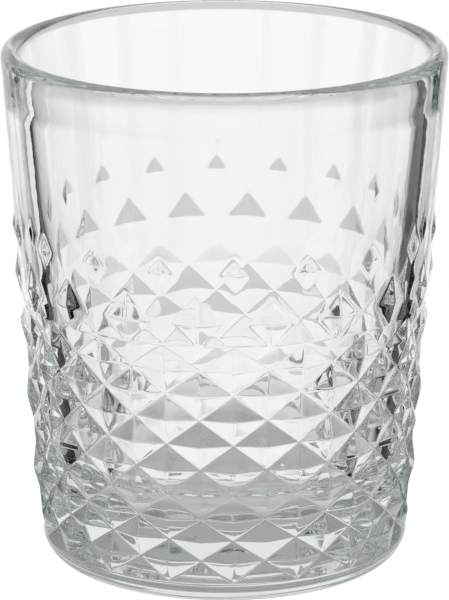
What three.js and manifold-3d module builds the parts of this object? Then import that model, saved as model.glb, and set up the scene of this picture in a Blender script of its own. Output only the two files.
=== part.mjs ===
// Pressed-glass whiskey tumbler in millimetres: +Z is up and the origin is the centre of the
// plane it rests on. The glass is one continuous pressed piece: a tapered wall with a thick
// base, two rows of raised studs and, below them, a lattice of four-sided pyramids. The two
// mould seams run down the sides, at +X and -X.

import * as THREE from "three";
import Module from "manifold-3d";

// Outside of the glass.
const HEIGHT = 102;
const RIM_RADIUS = 43;
const LIP_RADIUS = 1.85; // the fire-polished edge is a half-round bead
const FOOT_WALL_RADIUS = 35.8; // where the straight wall runs into the foot rounding
const FOOT_ROUNDING = 6.2;

// Underside: a shallow recess leaves a flat ring to stand on.
const RECESS_DEPTH = 0.8;
const RECESS_RADIUS = 21;
const RECESS_EDGE_WIDTH = 2.5;

// Inside of the glass: the bottom is a shallow dish, and the heel rounds it into the wall.
const SHOULDER_RADIUS = 37.8; // below the slight flare under the lip
const SHOULDER_HEIGHT = 92.8;
const INNER_TAPER = 0.098; // radius lost for each millimetre down
const FLOOR_HEIGHT = 12.5;
const DISH_RADIUS = 110;
const HEEL_ROUNDING = 13;

// The pyramid lattice: 18 pyramids in each row, each row turned by half a pyramid.
const COLUMNS = 18;
const LATTICE_TOP = 52.95;
const BODY_ROWS = 7;
const BODY_ROW_PITCH = 5.05;
const FOOT_ROWS = 3;
const FOOT_ROW_PITCH = 4.2;
const APEX_LIFT = 0.25; // pyramid tips stand this far outside the plain wall
const VALLEY_DEPTH = 1.3; // the corners between pyramids lie this far inside it

// On the seams the lattice gives way to a swelling at every third row.
const SEAM_COLUMNS = [COLUMNS / 2, (3 * COLUMNS) / 2];
const SEAM_ROWS = [1, 4, 7];
const SEAM_LIFT = 1;

// The studs stand alone on the plain wall above the lattice.
const LARGE_STUD = { height: 57.4, halfWidth: 4.6, halfHeight: 5.2, lift: 1 };
const SMALL_STUD = { height: 66.9, halfWidth: 2.55, halfHeight: 3.3, lift: 0.75 };
const STUD_EDGE_SINK = 0.05; // edges dip just under the wall, so that stud and wall join
const STUD_ROOT_DEPTH = 2;

// Facets: every pyramid spans four steps around.
const STEPS_PER_COLUMN = 4;
const SEGMENTS = COLUMNS * STEPS_PER_COLUMN;
const FOOT_ARC_STEPS = 5;
const LIP_ARC_STEPS = 6;
const HEEL_ARC_STEPS = 5;
const DISH_ARC_STEPS = 3;

const LIP_CENTRE_HEIGHT = HEIGHT - LIP_RADIUS;
const WALL_TAPER = findWallTaper();
const FOOT_LEAN = Math.atan(WALL_TAPER);
const FOOT_TOP = FOOT_ROUNDING * (1 - Math.sin(FOOT_LEAN));
const FOOT_CENTRE_RADIUS = FOOT_WALL_RADIUS - FOOT_ROUNDING * Math.cos(FOOT_LEAN);

// The wall's taper is the slope from the foot rounding to the lip bead.
function findWallTaper() {
  const rise = LIP_CENTRE_HEIGHT - FOOT_ROUNDING;
  return (RIM_RADIUS - FOOT_WALL_RADIUS) / rise;
}

// Outside radius without studs or lattice.
function wallRadius(z) {
  if (z >= FOOT_TOP) {
    return RIM_RADIUS - WALL_TAPER * (LIP_CENTRE_HEIGHT - z);
  }
  return FOOT_CENTRE_RADIUS + Math.sqrt(FOOT_ROUNDING ** 2 - (FOOT_ROUNDING - z) ** 2);
}

// Inside radius of the straight part of the cavity.
function innerRadius(z) {
  return SHOULDER_RADIUS - INNER_TAPER * (SHOULDER_HEIGHT - z);
}

// Points of a circular arc from one angle to another, both ends included.
function arc(centreRadius, centreHeight, radius, from, to, steps) {
  const points = [];
  for (let i = 0; i <= steps; i += 1) {
    const angle = from + ((to - from) * i) / steps;
    points.push({
      radius: centreRadius + radius * Math.cos(angle),
      z: centreHeight + radius * Math.sin(angle),
    });
  }
  return points;
}

// Heights of the lattice rows from the top edge down to the bottom edge.
function latticeHeights() {
  const heights = [LATTICE_TOP];
  for (let row = 0; row < BODY_ROWS; row += 1) {
    heights.push(heights.at(-1) - BODY_ROW_PITCH);
  }
  for (let row = 0; row < FOOT_ROWS; row += 1) {
    heights.push(heights.at(-1) - FOOT_ROW_PITCH);
  }
  return heights;
}

// Tips and valleys alternate like the two colours of a chessboard; row 0 is the top edge.
function isTip(row, column) {
  return (row + column) % 2 === 1;
}

// The groove across the cell below and to the right of a lattice point runs from valley to valley.
function grooveFallsRight(row, column) {
  return !isTip(row, column);
}

// Relief at a lattice point; both edges of the lattice are flush with the wall.
function reliefAtPoint(row, column, lastRow) {
  if (row === 0 || row === lastRow) {
    return 0;
  }
  if (SEAM_COLUMNS.includes(column)) {
    return SEAM_ROWS.includes(row) ? SEAM_LIFT : 0;
  }
  return isTip(row, column) ? APEX_LIFT : -VALLEY_DEPTH;
}

// Relief on the half-step grid: points between lattice points take the mean of the two ends of
// the ridge or groove that they lie on.
function reliefAt(halfRow, halfColumn, lastRow) {
  const row = Math.floor(halfRow / 2);
  const column = Math.floor(halfColumn / 2);
  const betweenRows = halfRow % 2 === 1;
  const betweenColumns = halfColumn % 2 === 1;
  if (!betweenRows && !betweenColumns) {
    return reliefAtPoint(row, column, lastRow);
  }
  if (betweenRows && betweenColumns) {
    const shift = grooveFallsRight(row, column) ? 0 : 1;
    const upper = reliefAtPoint(row, column + shift, lastRow);
    const lower = reliefAtPoint(row + 1, column + 1 - shift, lastRow);
    return (upper + lower) / 2;
  }
  const near = reliefAtPoint(row, column, lastRow);
  const far = reliefAtPoint(row + (betweenRows ? 1 : 0), column + (betweenColumns ? 1 : 0), lastRow);
  return (near + far) / 2;
}

// The lattice as rings from the bottom up, with a relief for each step around.
function latticeRings() {
  const heights = latticeHeights();
  const lastRow = heights.length - 1;
  const rings = [];
  for (let halfRow = 2 * lastRow; halfRow >= 0; halfRow -= 1) {
    const row = Math.floor(halfRow / 2);
    const z = halfRow % 2 === 0 ? heights[row] : (heights[row] + heights[row + 1]) / 2;
    const relief = (step) => reliefAt(halfRow, step, lastRow);
    rings.push({ radius: wallRadius(z), z, relief, row, isLattice: true });
  }
  return rings;
}

// Centre of the heel arc, which touches the cavity wall and the dish.
function findHeelCentre() {
  const radiusAtHeight = (z) => innerRadius(z) - HEEL_ROUNDING / Math.cos(Math.atan(INNER_TAPER));
  let z = FLOOR_HEIGHT + HEEL_ROUNDING;
  for (let i = 0; i < 20; i += 1) {
    const reach = Math.sqrt((DISH_RADIUS - HEEL_ROUNDING) ** 2 - radiusAtHeight(z) ** 2);
    z = FLOOR_HEIGHT + DISH_RADIUS - reach;
  }
  return { radius: radiusAtHeight(z), z };
}

// The heel and the dish, from the cavity wall down to the ring next to the middle.
function cavityBottom() {
  const centre = findHeelCentre();
  const heelStart = -Math.atan(INNER_TAPER);
  const dishSlope = Math.asin(centre.radius / (DISH_RADIUS - HEEL_ROUNDING));
  const join = dishSlope - Math.PI / 2;
  const heel = arc(centre.radius, centre.z, HEEL_ROUNDING, heelStart, join, HEEL_ARC_STEPS);
  const dishCentre = FLOOR_HEIGHT + DISH_RADIUS;
  const dish = arc(0, dishCentre, DISH_RADIUS, join, -Math.PI / 2, DISH_ARC_STEPS);
  return [...heel, ...dish.slice(1, -1)];
}

// Every ring of the closed surface, from the middle of the underside, up the outside, over the
// lip and down the inside to the middle of the cavity floor.
function surfaceRings() {
  const latticeBottom = latticeHeights().at(-1);
  const footStart = -Math.PI / 2;
  const footEnd = -Math.asin((FOOT_ROUNDING - latticeBottom) / FOOT_ROUNDING);
  const foot = arc(FOOT_CENTRE_RADIUS, FOOT_ROUNDING, FOOT_ROUNDING, footStart, footEnd, FOOT_ARC_STEPS);
  const lipCentre = RIM_RADIUS - LIP_RADIUS;
  const lip = arc(lipCentre, LIP_CENTRE_HEIGHT, LIP_RADIUS, 0, Math.PI, LIP_ARC_STEPS);
  return [
    { radius: RECESS_RADIUS - RECESS_EDGE_WIDTH, z: RECESS_DEPTH },
    { radius: RECESS_RADIUS, z: 0 },
    ...foot.slice(0, -1),
    ...latticeRings(),
    ...lip,
    { radius: SHOULDER_RADIUS, z: SHOULDER_HEIGHT },
    ...cavityBottom(),
  ];
}

// Position of a step around a ring; step 0 faces the front, -Y.
function ringPoint(ring, step) {
  const angle = (2 * Math.PI * step) / SEGMENTS - Math.PI / 2;
  const relief = ring.relief ? ring.relief(step) : 0;
  const radius = ring.radius + relief;
  return [radius * Math.cos(angle), radius * Math.sin(angle), ring.z];
}

// In the lattice a cell is split along its groove; elsewhere the split makes no difference.
function splitFallsRight(lowerRing, upperRing, step) {
  if (!lowerRing.isLattice || !upperRing.isLattice) {
    return false;
  }
  return grooveFallsRight(upperRing.row, Math.floor(step / 2));
}

// The closed surface of revolution with the lattice on it.
function buildBody() {
  const rings = surfaceRings();
  const positions = [0, 0, RECESS_DEPTH];
  for (const ring of rings) {
    for (let step = 0; step < SEGMENTS; step += 1) {
      positions.push(...ringPoint(ring, step));
    }
  }
  positions.push(0, 0, FLOOR_HEIGHT);
  const indices = [];
  const vertex = (ringIndex, step) => 1 + ringIndex * SEGMENTS + (step % SEGMENTS);
  const lastRing = rings.length - 1;
  const floorCentre = positions.length / 3 - 1;
  for (let step = 0; step < SEGMENTS; step += 1) {
    indices.push(0, vertex(0, step + 1), vertex(0, step));
    indices.push(floorCentre, vertex(lastRing, step), vertex(lastRing, step + 1));
    for (let i = 0; i < lastRing; i += 1) {
      const lower = vertex(i, step);
      const lowerNext = vertex(i, step + 1);
      const upper = vertex(i + 1, step);
      const upperNext = vertex(i + 1, step + 1);
      if (splitFallsRight(rings[i], rings[i + 1], step)) {
        indices.push(lower, lowerNext, upper, upper, lowerNext, upperNext);
      } else {
        indices.push(lower, lowerNext, upperNext, lower, upperNext, upper);
      }
    }
  }
  return indexedGeometry(positions, indices);
}

function indexedGeometry(positions, indices) {
  const geometry = new THREE.BufferGeometry();
  geometry.setAttribute("position", new THREE.Float32BufferAttribute(positions, 3));
  geometry.setIndex(indices);
  return geometry;
}

// A point at an angle around the wall, lifted off it along the radius.
function wallPoint(angle, z, lift) {
  const radius = wallRadius(z) + lift;
  return [radius * Math.sin(angle), -radius * Math.cos(angle), z];
}

// One stud: four facets outside the wall and a root inside it.
function buildStud(stud, angle) {
  const halfAngle = stud.halfWidth / wallRadius(stud.height);
  const positions = [
    ...wallPoint(angle, stud.height, stud.lift),
    ...wallPoint(angle + halfAngle, stud.height, -STUD_EDGE_SINK),
    ...wallPoint(angle, stud.height + stud.halfHeight, -STUD_EDGE_SINK),
    ...wallPoint(angle - halfAngle, stud.height, -STUD_EDGE_SINK),
    ...wallPoint(angle, stud.height - stud.halfHeight, -STUD_EDGE_SINK),
    ...wallPoint(angle, stud.height, -STUD_ROOT_DEPTH),
  ];
  const tip = 0;
  const root = 5;
  const indices = [];
  for (let corner = 0; corner < 4; corner += 1) {
    const here = 1 + corner;
    const next = 1 + ((corner + 1) % 4);
    indices.push(tip, here, next);
    indices.push(root, next, here);
  }
  return indexedGeometry(positions, indices);
}

const manifoldLibrary = await Module();
manifoldLibrary.setup();

function toSolid(geometry) {
  return new manifoldLibrary.Manifold(
    new manifoldLibrary.Mesh({
      numProp: 3,
      vertProperties: new Float32Array(geometry.getAttribute("position").array),
      triVerts: new Uint32Array(geometry.getIndex().array),
    }),
  );
}

function toGeometry(solid) {
  const mesh = solid.getMesh();
  return indexedGeometry(Array.from(mesh.vertProperties), Array.from(mesh.triVerts));
}

// The body with a ring of small studs and, half a column round, a ring of large ones. Each seam
// has one more small stud above its large one.
function buildTumbler() {
  let solid = toSolid(buildBody());
  for (let column = 0; column < COLUMNS; column += 1) {
    const angle = (2 * Math.PI * column) / COLUMNS;
    solid = solid.add(toSolid(buildStud(SMALL_STUD, angle)));
    solid = solid.add(toSolid(buildStud(LARGE_STUD, angle + Math.PI / COLUMNS)));
  }
  for (const angle of [Math.PI / 2, -Math.PI / 2]) {
    solid = solid.add(toSolid(buildStud(SMALL_STUD, angle)));
  }
  return toGeometry(solid);
}

const clearGlass = new THREE.MeshStandardMaterial({
  color: 0xe6ece7,
  roughness: 0.03,
  metalness: 0,
});

const tumbler = new THREE.Mesh(buildTumbler(), clearGlass);
tumbler.name = "tumbler_glass";

const group = new THREE.Group();
group.add(tumbler);

export default group;
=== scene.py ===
"""Whiskey tumbler of clear pressed glass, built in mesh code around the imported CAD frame.

The visible glass replaces the faceted CAD solid. It has the same lip, wall, studs, lattice, foot
and cavity, with rounded edges and the slight waviness of pressed glass. Lengths in this script
are millimetres until the last step of mesh making, where MM turns them into metres.
"""

import math

import bpy
import numpy as np
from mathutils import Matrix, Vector


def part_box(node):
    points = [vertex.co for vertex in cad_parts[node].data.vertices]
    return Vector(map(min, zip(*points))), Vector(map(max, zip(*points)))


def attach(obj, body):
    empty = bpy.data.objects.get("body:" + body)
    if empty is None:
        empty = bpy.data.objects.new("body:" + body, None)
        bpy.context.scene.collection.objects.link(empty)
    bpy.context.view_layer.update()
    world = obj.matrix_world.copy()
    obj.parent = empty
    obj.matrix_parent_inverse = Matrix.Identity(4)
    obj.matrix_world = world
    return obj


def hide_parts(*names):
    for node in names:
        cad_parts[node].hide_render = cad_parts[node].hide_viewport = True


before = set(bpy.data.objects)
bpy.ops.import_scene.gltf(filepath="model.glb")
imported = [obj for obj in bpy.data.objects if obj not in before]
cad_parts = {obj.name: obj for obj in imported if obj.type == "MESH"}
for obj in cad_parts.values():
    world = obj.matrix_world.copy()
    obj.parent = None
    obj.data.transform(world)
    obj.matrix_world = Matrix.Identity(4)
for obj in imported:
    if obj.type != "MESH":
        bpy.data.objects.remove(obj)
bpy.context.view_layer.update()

MM = 0.001
TAU = 2 * math.pi

# Overall size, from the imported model.
NODE = "tumbler_glass"
node_low, node_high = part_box(NODE)
HEIGHT = (node_high[2] - node_low[2]) / MM
RIM_RADIUS = (node_high[0] - node_low[0]) / 2 / MM

# Outside of the glass.
LIP_RADIUS = 1.85
FOOT_WALL_RADIUS = 35.8
FOOT_ROUNDING = 6.2

# Underside.
RECESS_DEPTH = 0.8
RECESS_RADIUS = 21.0
RECESS_EDGE_WIDTH = 2.5

# Inside of the glass: the bottom is a shallow dish, and the heel rounds it into the wall.
SHOULDER_RADIUS = 37.8
SHOULDER_HEIGHT = 92.8
INNER_TAPER = 0.098
FLOOR_HEIGHT = 12.5
DISH_RADIUS = 110.0
HEEL_ROUNDING = 13.0

# Pyramid lattice.
COLUMNS = 18
HALF_COLUMNS = 2 * COLUMNS
LATTICE_TOP = 52.95
BODY_ROWS = 7
BODY_ROW_PITCH = 5.05
FOOT_ROWS = 3
FOOT_ROW_PITCH = 4.2
APEX_LIFT = 0.25
VALLEY_DEPTH = 1.3
GROOVE_SOFTNESS = 0.035
RIDGE_SOFTNESS = 0.07
TIP_SOFTNESS = 0.08

# On the two mould seams the lattice gives way to a soft swelling at every third row.
SEAM_COLUMNS = (9, 27)
SEAM_ROW_STEP = 3
SEAM_LIFT = 1.0
SEAM_SOFTNESS = 0.2
SEAM_BLEND_SOFTNESS = 0.1
SEAM_FIRST_ROW = 1
SEAM_SWELLINGS = 3

# Studs: height of the centre, half width, half height, lift, how far they are turned from the
# column lines, in columns, and how soft their edges are.
LARGE_STUD = dict(height=57.4, half_width=4.6, half_height=5.2, lift=1.0, turn=0.5, soft=0.10)
SMALL_STUD = dict(height=66.9, half_width=2.55, half_height=3.3, lift=0.75, turn=0.0, soft=0.24)
SEAM_STUD = dict(SMALL_STUD, columns=2, turn=0.5)
STUD_ZONE_TOP = 71.2

# Unevenness that pressing leaves in the plain wall: height of each wave, how many go round,
# where they start, and how fast they twist as they climb.
WAVES = ((0.014, 3, 0.7, 1 / 21), (0.005, 7, -1.9, -1 / 13), (0.0015, 16, 2.3, 1 / 6.1))
CAVITY_WAVE_TURN = 1.1
CAVITY_WAVE_STRETCH = 0.8

# Mesh fineness.
FACET_STEPS = 10
FACET_EDGE_STEPS = (0.0, 0.022, 0.05, 0.12)
STUD_ZONE_SEGMENTS = 648
STUD_ZONE_ROW = 0.4
WALL_SEGMENTS = 288
WALL_ROW = 2.5
RECESS_CENTRE_RADIUS = 4.0
RECESS_ROW = 3.0
RECESS_EDGE_STEPS = 8
FOOT_STEPS = 14
LIP_STEPS = 18
HEEL_STEPS = 20
DISH_STEPS = 12

WALL_RISE = HEIGHT - LIP_RADIUS - FOOT_ROUNDING
WALL_TAPER = (RIM_RADIUS - FOOT_WALL_RADIUS) / WALL_RISE
FOOT_LEAN = math.atan(WALL_TAPER)
FOOT_TOP = FOOT_ROUNDING * (1 - math.sin(FOOT_LEAN))
FOOT_CENTRE_RADIUS = FOOT_WALL_RADIUS - FOOT_ROUNDING * math.cos(FOOT_LEAN)
HEEL_LEAN = math.atan(INNER_TAPER)

# Clear soda-lime glass, and the fine skin that the mould leaves on it.
GLASS_IOR = 1.52
GLASS_TINT = (0.74, 0.795, 0.768, 1)
GLASS_DENSITY = 12.0
SKIN_SCALE = 220.0
SKIN_DETAIL = 2.0
SKIN_DEPTH = 0.012

# Studio cards round the glass, in millimetres seen from above: both ends, and how bright they
# are at the table and higher up. The camera doesn't see them, only the glass does.
CARD_TOP = 220.0
CARD_FADE_HEIGHT = 66.0
CARDS = dict(
    left_strip=dict(ends=((-108, 61), (-96, 72)), low=0.95, high=0.95),
    right_strip=dict(ends=((91, 75), (96, 72)), low=0.9, high=0.9),
    left_flag=dict(ends=((-104, 26), (-92, 49)), low=0.0, high=0.0),
    right_flag=dict(ends=((86, 54), (103, 28)), low=0.0, high=0.0),
    left_front_flag=dict(ends=((-104, -33), (-94, -47)), low=0.2, high=0.2),
    right_front_flag=dict(ends=((104, -33), (94, -47)), low=0.2, high=0.2),
    left=dict(ends=((-150, -75), (-150, 75)), low=0.6, high=0.85),
    right=dict(ends=((150, -75), (150, 75)), low=0.6, high=0.85),
    front=dict(ends=((-75, -150), (75, -150)), low=0.6, high=0.75),
    left_corner=dict(ends=((-150, -90), (-90, -150)), low=0.6, high=0.7),
    right_corner=dict(ends=((150, -90), (90, -150)), low=0.6, high=0.7),
)

# Light from the table under the glass, which brightens outwards, and is dimmer in front.
TABLE_RADIUS = 108.0
TABLE_SEGMENTS = 96
TABLE_LIGHT = (0.4, 0.95)
TABLE_FADE = (20.0, 50.0)
FRONT_LIGHT = 0.75
FRONT_FADE = (-60.0, -20.0)

# Four dark sectors of the table, starting just outside the glass. Their middles lie this far
# round from the front and the back, and the widths are in the cosine of twice that turn.
SHADE_TURN = math.radians(60)
SHADE_WIDTH = (0.4, 0.55)
SHADE_START = (47.0, 57.0)

# Light from the room: a pale sector behind the glass, dimmer below and above, and even light
# elsewhere. The angles are measured from the horizon, and round from the middle of the back.
ROOM_LIGHT = 0.35
BACK_LIGHT = (0.66, 0.97)
BACK_RISE = (math.radians(-20.2), math.radians(-16.8))
BACK_TOP = (math.radians(9.8), math.radians(16.3))
BACK_TOP_DIMMING = 0.45
BACK_TURN = (math.radians(28), math.radians(34))

# The pale floor that the camera sees.
FLOOR_HALF_WIDTH = 6000.0
FLOOR_DROP = 0.2
TABLE_DROP = 0.1

# Camera, fitted to the photograph's view.
CAMERA_DISTANCE = 849.7
CAMERA_HEIGHT = 290.4
CAMERA_PITCH = math.radians(15.73)
CAMERA_TURN = math.radians(-2.65)
CAMERA_LENS = 271.7
SENSOR_WIDTH = 36.0


# ---------------------------------------------------------------- shape of the glass


def wall_radius(z):
    """Outside radius of the plain wall and the foot rounding."""
    z = np.asarray(z, dtype=float)
    straight = RIM_RADIUS - WALL_TAPER * (HEIGHT - LIP_RADIUS - z)
    drop = np.clip(FOOT_ROUNDING - z, 0, FOOT_ROUNDING)
    rounded = FOOT_CENTRE_RADIUS + np.sqrt(FOOT_ROUNDING**2 - drop**2)
    return np.where(z >= FOOT_TOP, straight, rounded)


def inner_radius(z):
    return SHOULDER_RADIUS - INNER_TAPER * (SHOULDER_HEIGHT - z)


def heel_centre():
    """Centre of the heel arc, which touches the cavity wall and the dish."""
    height = FLOOR_HEIGHT + HEEL_ROUNDING
    for _ in range(20):
        radius = inner_radius(height) - HEEL_ROUNDING / math.cos(HEEL_LEAN)
        reach = math.sqrt((DISH_RADIUS - HEEL_ROUNDING) ** 2 - radius**2)
        height = FLOOR_HEIGHT + DISH_RADIUS - reach
    return radius, height


def lattice_heights():
    """Heights of the lattice rows, from the top edge down."""
    drops = [BODY_ROW_PITCH] * BODY_ROWS + [FOOT_ROW_PITCH] * FOOT_ROWS
    return LATTICE_TOP - np.concatenate([[0.0], np.cumsum(drops)])


def soft_abs(x, softness):
    return np.sqrt(x**2 + softness**2)


def soft_min(a, b, softness):
    overlap = np.clip(softness - np.abs(a - b), 0, None)
    return np.minimum(a, b) - overlap**2 / (4 * softness)


def soft_positive(x, softness):
    return (x + np.sqrt(x**2 + softness**2)) / 2


def distance_to_odd(x):
    """Distance from x to the nearest odd whole number, between 0 and 1."""
    return np.abs(np.mod(x, 2.0) - 1.0)


def pyramid_relief(u, v):
    """Relief of the pyramids at u half columns round and v rows down from the top edge.

    Tips lie where u + v is odd. The grooves are the lines where u + v or u - v is even.
    """
    last = BODY_ROWS + FOOT_ROWS
    away_right = soft_abs(distance_to_odd(u + v), TIP_SOFTNESS)
    away_left = soft_abs(distance_to_odd(u - v), TIP_SOFTNESS)
    groove_right = soft_abs(np.clip(1 - away_right, 0, None), GROOVE_SOFTNESS)
    groove_left = soft_abs(np.clip(1 - away_left, 0, None), GROOVE_SOFTNESS)
    pyramid = soft_min(groove_right, groove_left, RIDGE_SOFTNESS)
    # In the first and last row the lattice fades out to the wall.
    fade = np.clip(np.minimum(v, last - v), 0, 1)
    edge_row = np.where(v < last / 2, 1, last - 1)
    from_tip = soft_abs(distance_to_odd(u + edge_row), TIP_SOFTNESS)
    edge_pyramid = soft_positive(fade - from_tip, GROOVE_SOFTNESS)
    pyramid = np.where(fade < 1, edge_pyramid, pyramid)
    return -VALLEY_DEPTH * fade + (APEX_LIFT + VALLEY_DEPTH) * pyramid


def seam_relief(v):
    """Relief along a mould seam: swellings some rows apart, and the plain wall between."""
    down = (v - SEAM_FIRST_ROW) / SEAM_ROW_STEP
    nearest = np.clip(np.round(down), 0, SEAM_SWELLINGS - 1)
    from_swelling = np.abs(down - nearest) * SEAM_ROW_STEP
    return SEAM_LIFT * soft_positive(1 - soft_abs(from_swelling, SEAM_SOFTNESS), SEAM_SOFTNESS / 2)


def lattice_relief(u, v):
    """Relief of the pyramids, run over into the seam relief within half a column of a seam."""
    relief = pyramid_relief(u, v)
    last = BODY_ROWS + FOOT_ROWS
    fade = np.clip(np.minimum(v, last - v), 0, 1)
    for seam in SEAM_COLUMNS:
        near = soft_positive(1 - np.abs(u - seam), SEAM_BLEND_SOFTNESS) * fade
        on_seam = pyramid_relief(np.full_like(u, seam), v)
        relief = relief + np.clip(near, 0, 1) * (seam_relief(v) - on_seam)
    return relief


def stud_relief(angle, z):
    """Relief of both rows of studs, with one more small stud on each seam."""
    total = np.zeros_like(angle)
    for stud in (LARGE_STUD, SMALL_STUD, SEAM_STUD):
        columns = stud.get("columns", COLUMNS)
        turns = angle / TAU * columns - stud["turn"]
        across = (turns - np.round(turns)) * TAU / columns * wall_radius(stud["height"])
        x = soft_abs(across, stud["soft"]) / stud["half_width"]
        y = soft_abs(z - stud["height"], stud["soft"]) / stud["half_height"]
        total += soft_positive(stud["lift"] * (1 - x - y), stud["soft"] * stud["lift"])
    return total


def waviness(angle, z):
    """The slight unevenness that pressing leaves in the plain wall."""
    return sum(size * np.sin(count * angle + start + twist * z) for size, count, start, twist in WAVES)


# ---------------------------------------------------------------- mesh building


class MeshBuilder:
    """Collects vertices and triangles."""

    def __init__(self):
        self.points = []
        self.triangles = []

    def add_points(self, points):
        start = len(self.points)
        self.points.extend(map(tuple, points))
        return np.arange(start, len(self.points))

    def add_triangles(self, triangles):
        self.triangles.extend(map(tuple, triangles))

    def add_ring(self, radius, z, segments):
        angle = np.arange(segments) * TAU / segments
        radius = np.broadcast_to(radius, angle.shape)
        z = np.full_like(angle, z)
        return self.add_points(np.stack([radius * np.sin(angle), -radius * np.cos(angle), z], -1))

    def bridge(self, lower, upper):
        """Joins two rings, each in order round from the front, whatever their vertex counts."""
        a, b = len(lower), len(upper)
        turn_lower = self.turns(lower)
        turn_upper = self.turns(upper)
        i = j = 0
        while i < a or j < b:
            here_low, here_up = lower[i % a], upper[j % b]
            take_lower = j >= b or (i < a and turn_lower[i + 1] <= turn_upper[j + 1])
            if take_lower:
                self.triangles.append((here_low, lower[(i + 1) % a], here_up))
                i += 1
            else:
                self.triangles.append((here_low, upper[(j + 1) % b], here_up))
                j += 1

    def turns(self, ring):
        """How far round from the front each vertex is, closed by one full turn."""
        x = np.array([self.points[k][0] for k in ring])
        y = np.array([self.points[k][1] for k in ring])
        turn = np.mod(np.arctan2(x, -y) / TAU + 1e-9, 1.0)
        return np.append(turn, 1.0)

    def cap(self, ring, z, facing_up):
        (centre,) = self.add_points([(0.0, 0.0, z)])
        n = len(ring)
        for i in range(n):
            here, following = ring[i], ring[(i + 1) % n]
            self.triangles.append((centre, here, following) if facing_up else (centre, following, here))


def arc_points(centre_radius, centre_height, radius, start, end, steps):
    angle = np.linspace(start, end, steps + 1)
    return list(zip(centre_radius + radius * np.cos(angle), centre_height + radius * np.sin(angle)))


def facet_spacing():
    """Steps across a facet: fine next to an edge, even in the middle."""
    edge = np.array(FACET_EDGE_STEPS)
    rest = np.linspace(edge[-1], 1.0, FACET_STEPS - len(edge) + 2)[1:]
    return np.concatenate([edge, rest])


def facet_grid():
    """Barycentric points of one facet and the triangles between them."""
    spacing = facet_spacing()
    points, index = [], {}
    for i in range(FACET_STEPS + 1):
        for j in range(FACET_STEPS + 1 - i):
            weights = spacing[[i, j, FACET_STEPS - i - j]]
            index[i, j] = len(points)
            points.append(weights / weights.sum())
    triangles = []
    for i in range(FACET_STEPS):
        for j in range(FACET_STEPS - i):
            triangles.append((index[i, j], index[i + 1, j], index[i, j + 1]))
            if j < FACET_STEPS - i - 1:
                triangles.append((index[i + 1, j], index[i + 1, j + 1], index[i, j + 1]))
    return np.array(points), np.array(triangles)


def facet_corners():
    """Corners (u, v) of every facet of the lattice, anticlockwise seen from outside."""
    facets = []
    for row in range(BODY_ROWS + FOOT_ROWS):
        for column in range(HALF_COLUMNS):
            upper_left, upper_right = (column, row), (column + 1, row)
            lower_left, lower_right = (column, row + 1), (column + 1, row + 1)
            if (row + column) % 2 == 1:
                facets.append((upper_left, lower_left, upper_right))
                facets.append((lower_right, upper_right, lower_left))
            else:
                facets.append((upper_right, upper_left, lower_right))
                facets.append((lower_left, lower_right, upper_left))
    return np.array(facets, dtype=float)


def add_lattice(builder):
    """Adds the lattice band and returns its bottom and top rings."""
    weights, local = facet_grid()
    corners = facet_corners()
    uv = np.einsum("pk,fkc->fpc", weights, corners).reshape(-1, 2)
    uv[:, 0] = np.mod(np.round(uv[:, 0], 6), HALF_COLUMNS)
    uv = np.round(uv, 6)
    unique, inverse = np.unique(uv, axis=0, return_inverse=True)
    inverse = inverse.reshape(-1)
    u, v = unique.T
    heights = lattice_heights()
    z = np.interp(v, np.arange(len(heights)), heights)
    angle = u / HALF_COLUMNS * TAU
    radius = wall_radius(z) + lattice_relief(u, v) + waviness(angle, z)
    points = builder.add_points(np.stack([radius * np.sin(angle), -radius * np.cos(angle), z], -1))
    offsets = np.arange(len(corners))[:, None, None] * len(weights)
    triangles = points[inverse[(local[None] + offsets).reshape(-1, 3)]]
    builder.add_triangles(triangles)
    bottom = points[v == len(heights) - 1]
    top = points[v == 0]
    return bottom[np.argsort(u[v == len(heights) - 1])], top[np.argsort(u[v == 0])]


def add_rings(builder, profile, segments, start_ring):
    """Adds rings along a profile of (radius function or number, z) and returns the last one."""
    ring = start_ring
    angle = np.arange(segments) * TAU / segments
    for radius, z in profile:
        value = radius(angle, z) if callable(radius) else radius
        following = builder.add_ring(value, z, segments)
        if ring is not None:
            builder.bridge(ring, following)
        ring = following
    return ring


def evenly(start, end, step):
    """Values from start to end, about a step apart."""
    count = max(1, int(round(abs(end - start) / step)))
    return np.linspace(start, end, count + 1)


def plain_wall(angle, z):
    return wall_radius(z) + waviness(angle, z)


def stud_wall(angle, z):
    return plain_wall(angle, z) + stud_relief(angle, np.full_like(angle, z))


def cavity_wall(angle, z):
    return inner_radius(z) + waviness(angle + CAVITY_WAVE_TURN, z * CAVITY_WAVE_STRETCH)


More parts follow.
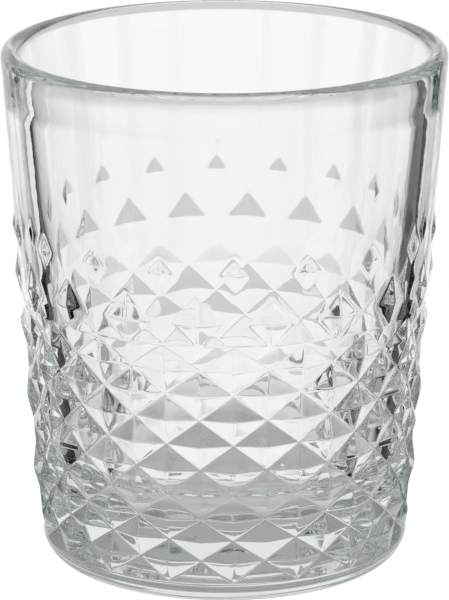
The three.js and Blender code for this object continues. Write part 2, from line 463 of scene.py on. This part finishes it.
def build_glass_mesh():
    """One closed surface: underside, foot, lattice, studs, wall, lip, cavity and floor."""
    builder = MeshBuilder()
    bottom, top = add_lattice(builder)

    # Underside and foot, from the recess out to the lattice.
    lowest = lattice_heights()[-1]
    foot_end = -math.asin((FOOT_ROUNDING - lowest) / FOOT_ROUNDING)
    foot = arc_points(FOOT_CENTRE_RADIUS, FOOT_ROUNDING, FOOT_ROUNDING, -math.pi / 2, foot_end, FOOT_STEPS)
    recess_radii = evenly(RECESS_CENTRE_RADIUS, RECESS_RADIUS - RECESS_EDGE_WIDTH, RECESS_ROW)
    recess = [(radius, RECESS_DEPTH) for radius in recess_radii]
    edge_turn = np.linspace(0, math.pi, RECESS_EDGE_STEPS + 1)[1:]
    recess_edge = [
        (
            RECESS_RADIUS - RECESS_EDGE_WIDTH * (1 - t / math.pi),
            RECESS_DEPTH * (1 + math.cos(t)) / 2,
        )
        for t in edge_turn
    ]
    first = add_rings(builder, recess[:1], WALL_SEGMENTS, None)
    builder.cap(first, RECESS_DEPTH, facing_up=False)
    ring = add_rings(builder, recess[1:] + recess_edge + foot[:-1], WALL_SEGMENTS, first)
    builder.bridge(ring, bottom)

    # Studs, plain wall and lip.
    stud_rows = [(stud_wall, z) for z in evenly(LATTICE_TOP, STUD_ZONE_TOP, STUD_ZONE_ROW)[1:]]
    ring = add_rings(builder, stud_rows, STUD_ZONE_SEGMENTS, top)
    wall_rows = [
        (plain_wall, z) for z in evenly(STUD_ZONE_TOP, HEIGHT - LIP_RADIUS, WALL_ROW)[1:-1]
    ]
    lip = arc_points(
        RIM_RADIUS - LIP_RADIUS, HEIGHT - LIP_RADIUS, LIP_RADIUS, 0, math.pi, LIP_STEPS
    )
    ring = add_rings(builder, wall_rows + lip, WALL_SEGMENTS, ring)

    # Cavity.
    heel_radius, heel_height = heel_centre()
    dish_slope = math.asin(heel_radius / (DISH_RADIUS - HEEL_ROUNDING))
    heel = arc_points(
        heel_radius, heel_height, HEEL_ROUNDING, -HEEL_LEAN, dish_slope - math.pi / 2, HEEL_STEPS
    )
    cavity = [(cavity_wall, z) for z in evenly(SHOULDER_HEIGHT, heel[0][1], WALL_ROW)[:-1]]
    dish = arc_points(
        0, FLOOR_HEIGHT + DISH_RADIUS, DISH_RADIUS, dish_slope - math.pi / 2, -math.pi / 2, DISH_STEPS
    )
    ring = add_rings(builder, cavity + heel + dish[1:-1], WALL_SEGMENTS, ring)
    builder.cap(ring, FLOOR_HEIGHT, facing_up=True)
    return builder


def make_object(name, builder):
    mesh = bpy.data.meshes.new(name)
    points = np.array(builder.points) * MM
    mesh.from_pydata(points.tolist(), [], [tuple(int(k) for k in t) for t in builder.triangles])
    mesh.polygons.foreach_set("use_smooth", [True] * len(mesh.polygons))
    mesh.validate()
    mesh.update()
    made = bpy.data.objects.new(name, mesh)
    bpy.context.scene.collection.objects.link(made)
    return made


# ---------------------------------------------------------------- material


def glass_material():
    material = bpy.data.materials.new("clear_pressed_glass")
    material.use_nodes = True
    nodes, links = material.node_tree.nodes, material.node_tree.links
    shader = nodes["Principled BSDF"]
    shader.inputs["Base Color"].default_value = (1, 1, 1, 1)
    shader.inputs["Transmission Weight"].default_value = 1.0
    shader.inputs["IOR"].default_value = GLASS_IOR
    shader.inputs["Roughness"].default_value = 0.0
    place = nodes.new("ShaderNodeTexCoord")
    skin = nodes.new("ShaderNodeTexNoise")
    skin.inputs["Scale"].default_value = SKIN_SCALE
    skin.inputs["Detail"].default_value = SKIN_DETAIL
    links.new(place.outputs["Object"], skin.inputs["Vector"])
    bump = nodes.new("ShaderNodeBump")
    bump.inputs["Distance"].default_value = SKIN_DEPTH * MM
    links.new(skin.outputs["Fac"], bump.inputs["Height"])
    links.new(bump.outputs["Normal"], shader.inputs["Normal"])
    absorption = nodes.new("ShaderNodeVolumeAbsorption")
    absorption.inputs["Color"].default_value = GLASS_TINT
    absorption.inputs["Density"].default_value = GLASS_DENSITY
    output = nodes["Material Output"]
    links.new(absorption.outputs["Volume"], output.inputs["Volume"])
    return material


# ---------------------------------------------------------------- stage, light and camera


class NodeMaker:
    """Adds math nodes to a node tree and returns their outputs."""

    def __init__(self, tree):
        self.nodes = tree.nodes
        self.links = tree.links

    def feed(self, socket, value):
        if isinstance(value, (int, float)):
            socket.default_value = value
        else:
            self.links.new(value, socket)

    def math(self, operation, *values):
        node = self.nodes.new("ShaderNodeMath")
        node.operation = operation
        for socket, value in zip(node.inputs, values):
            self.feed(socket, value)
        return node.outputs[0]

    def smooth(self, value, start, end, low=0.0, high=1.0):
        """Goes softly from low to high as value goes from start to end."""
        node = self.nodes.new("ShaderNodeMapRange")
        node.interpolation_type = "SMOOTHSTEP"
        for name, number in (
            ("Value", value), ("From Min", start), ("From Max", end), ("To Min", low), ("To Max", high)
        ):
            self.feed(node.inputs[name], number)
        return node.outputs[0]

    def mix(self, factor, low, high):
        """Goes straight from low to high as the factor goes from 0 to 1."""
        node = self.nodes.new("ShaderNodeMix")
        node.data_type = "FLOAT"
        self.feed(node.inputs[0], factor)
        self.feed(node.inputs[2], low)
        self.feed(node.inputs[3], high)
        return node.outputs[0]

    def split(self, vector):
        node = self.nodes.new("ShaderNodeSeparateXYZ")
        self.links.new(vector, node.inputs[0])
        return node.outputs


def glow_material(name, build_strength):
    """Plain light, of the strength that build_strength returns for a NodeMaker."""
    material = bpy.data.materials.new(name)
    material.use_nodes = True
    tree = material.node_tree
    tree.nodes.clear()
    make = NodeMaker(tree)
    glow = tree.nodes.new("ShaderNodeEmission")
    make.feed(glow.inputs["Strength"], build_strength(make))
    output = tree.nodes.new("ShaderNodeOutputMaterial")
    tree.links.new(glow.outputs[0], output.inputs["Surface"])
    return material


def make_stage_piece(name, corners, build_strength):
    """One flat glowing piece of the studio, from its corners in millimetres."""
    mesh = bpy.data.meshes.new(name)
    mesh.from_pydata([[c * MM for c in corner] for corner in corners], [], [range(len(corners))])
    piece = bpy.data.objects.new(name, mesh)
    bpy.context.scene.collection.objects.link(piece)
    piece.data.materials.append(glow_material(name, build_strength))
    return piece


def object_place(make):
    """Place on the piece, in metres."""
    node = make.nodes.new("ShaderNodeTexCoord")
    return make.split(node.outputs["Object"])


def make_card(name, ends, low, high):
    (x0, y0), (x1, y1) = ends
    corners = [(x0, y0, 0), (x1, y1, 0), (x1, y1, CARD_TOP), (x0, y0, CARD_TOP)]

    def strength(make):
        height = object_place(make)[2]
        return make.smooth(height, 0.0, CARD_FADE_HEIGHT * MM, low, high)

    make_stage_piece(name, corners, strength).visible_camera = False


def table_shade(make, x, y, radius):
    """1 in the dark sectors of the table and 0 elsewhere."""
    wave = make.math("COSINE", make.math("MULTIPLY", make.math("ARCTAN2", x, y), 2.0))
    away = make.math("ABSOLUTE", make.math("SUBTRACT", wave, math.cos(2 * SHADE_TURN)))
    inside = make.smooth(away, *SHADE_WIDTH, 1.0, 0.0)
    beyond = make.smooth(radius, SHADE_START[0] * MM, SHADE_START[1] * MM)
    return make.math("MULTIPLY", inside, beyond)


def table_strength(make):
    x, y, _ = object_place(make)
    squares = make.math("ADD", make.math("MULTIPLY", x, x), make.math("MULTIPLY", y, y))
    radius = make.math("SQRT", squares)
    light = make.smooth(radius, TABLE_FADE[0] * MM, TABLE_FADE[1] * MM, *TABLE_LIGHT)
    unshaded = make.math("SUBTRACT", 1.0, table_shade(make, x, y, radius))
    light = make.math("MULTIPLY", light, unshaded)
    front = make.smooth(y, FRONT_FADE[0] * MM, FRONT_FADE[1] * MM, FRONT_LIGHT, 1.0)
    return make.math("MULTIPLY", light, front)


def make_table():
    """The lit round of table that the glass stands on. The camera doesn't see it."""
    turns = np.arange(TABLE_SEGMENTS) * TAU / TABLE_SEGMENTS
    corners = [
        (TABLE_RADIUS * math.cos(turn), TABLE_RADIUS * math.sin(turn), -TABLE_DROP)
        for turn in turns
    ]
    make_stage_piece("table_light", corners, table_strength).visible_camera = False


def make_floor():
    """The plain pale floor. The glass sees the lit table and the room's light instead of it."""
    corners = [
        (FLOOR_HALF_WIDTH * across, FLOOR_HALF_WIDTH * along, -FLOOR_DROP)
        for across, along in ((-1, -1), (1, -1), (1, 1), (-1, 1))
    ]
    floor = make_stage_piece("floor", corners, lambda make: 1.0)
    floor.visible_transmission = False
    floor.visible_glossy = False


def make_world():
    """White to the camera, and to the glass a room with a pale sector behind it."""
    world = bpy.data.worlds.new("studio")
    bpy.context.scene.world = world
    world.use_nodes = True
    tree = world.node_tree
    make = NodeMaker(tree)
    background = tree.nodes["Background"]
    path = tree.nodes.new("ShaderNodeLightPath")
    place = tree.nodes.new("ShaderNodeTexCoord")
    x, y, z = make.split(place.outputs["Generated"])
    low, high = (math.sin(angle) for angle in BACK_RISE)
    behind = make.smooth(z, low, high, *BACK_LIGHT)
    low, high = (math.sin(angle) for angle in BACK_TOP)
    behind = make.math("MULTIPLY", behind, make.smooth(z, low, high, 1.0, BACK_TOP_DIMMING))
    turn = make.math("ABSOLUTE", make.math("ARCTAN2", x, y))
    light = make.mix(make.smooth(turn, *BACK_TURN), behind, ROOM_LIGHT)
    strength = make.mix(path.outputs["Is Camera Ray"], light, 1.0)
    tree.links.new(strength, background.inputs["Strength"])
    background.inputs["Color"].default_value = (1, 1, 1, 1)


def make_camera():
    data = bpy.data.cameras.new("camera")
    data.lens = CAMERA_LENS
    data.sensor_width = SENSOR_WIDTH
    camera = bpy.data.objects.new("camera", data)
    bpy.context.scene.collection.objects.link(camera)
    camera.location = Vector((
        CAMERA_DISTANCE * math.sin(CAMERA_TURN),
        -CAMERA_DISTANCE * math.cos(CAMERA_TURN),
        CAMERA_HEIGHT,
    )) * MM
    camera.rotation_euler = (math.pi / 2 - CAMERA_PITCH, 0, CAMERA_TURN)
    bpy.context.scene.camera = camera


glass = make_object("tumbler", build_glass_mesh())
glass.data.materials.append(glass_material())
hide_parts(NODE)
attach(glass, "root")

make_floor()
make_table()
for card_name, card in CARDS.items():
    make_card(card_name, **card)
make_world()
make_camera()

cycles = bpy.context.scene.cycles
cycles.max_bounces = 40
cycles.transmission_bounces = 40
cycles.glossy_bounces = 24
cycles.volume_bounces = 0
bpy.context.scene.view_settings.view_transform = "Standard"
